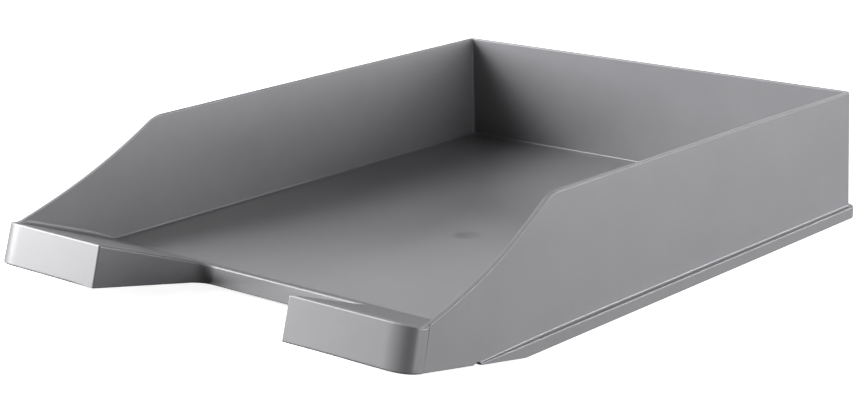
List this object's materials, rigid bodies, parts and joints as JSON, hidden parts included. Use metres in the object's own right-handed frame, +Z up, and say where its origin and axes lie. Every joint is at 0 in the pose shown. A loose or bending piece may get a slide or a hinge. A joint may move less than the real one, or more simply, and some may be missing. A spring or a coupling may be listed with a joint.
{
  "type": "stacking letter tray",
  "caption": "Open-fronted stacking desk tray for A4 and C4 sheets, with low sloped front plates, a finger recess and a stacking skirt.",
  "frame": {"origin": "on the desk, at the centre of the tray's footprint", "axes": "+X to the right, +Y from the open front to the back wall, +Z up"},
  "size_m": [0.255, 0.348, 0.065],
  "materials": {
    "tray_grey": "semi-gloss grey moulded polystyrene"
  },
  "bodies": {
    "root": {"floor_panel": "tray_grey", "left_wall": "tray_grey", "right_wall": "tray_grey", "back_wall": "tray_grey", "left_skirt": "tray_grey", "right_skirt": "tray_grey", "back_skirt": "tray_grey", "left_front_plate": "tray_grey", "right_front_plate": "tray_grey", "left_ramp": "tray_grey", "right_ramp": "tray_grey", "front_sill": "tray_grey", "left_recess_cheek": "tray_grey", "right_recess_cheek": "tray_grey", "recess_apron": "tray_grey"}
  },
  "joints": []
}
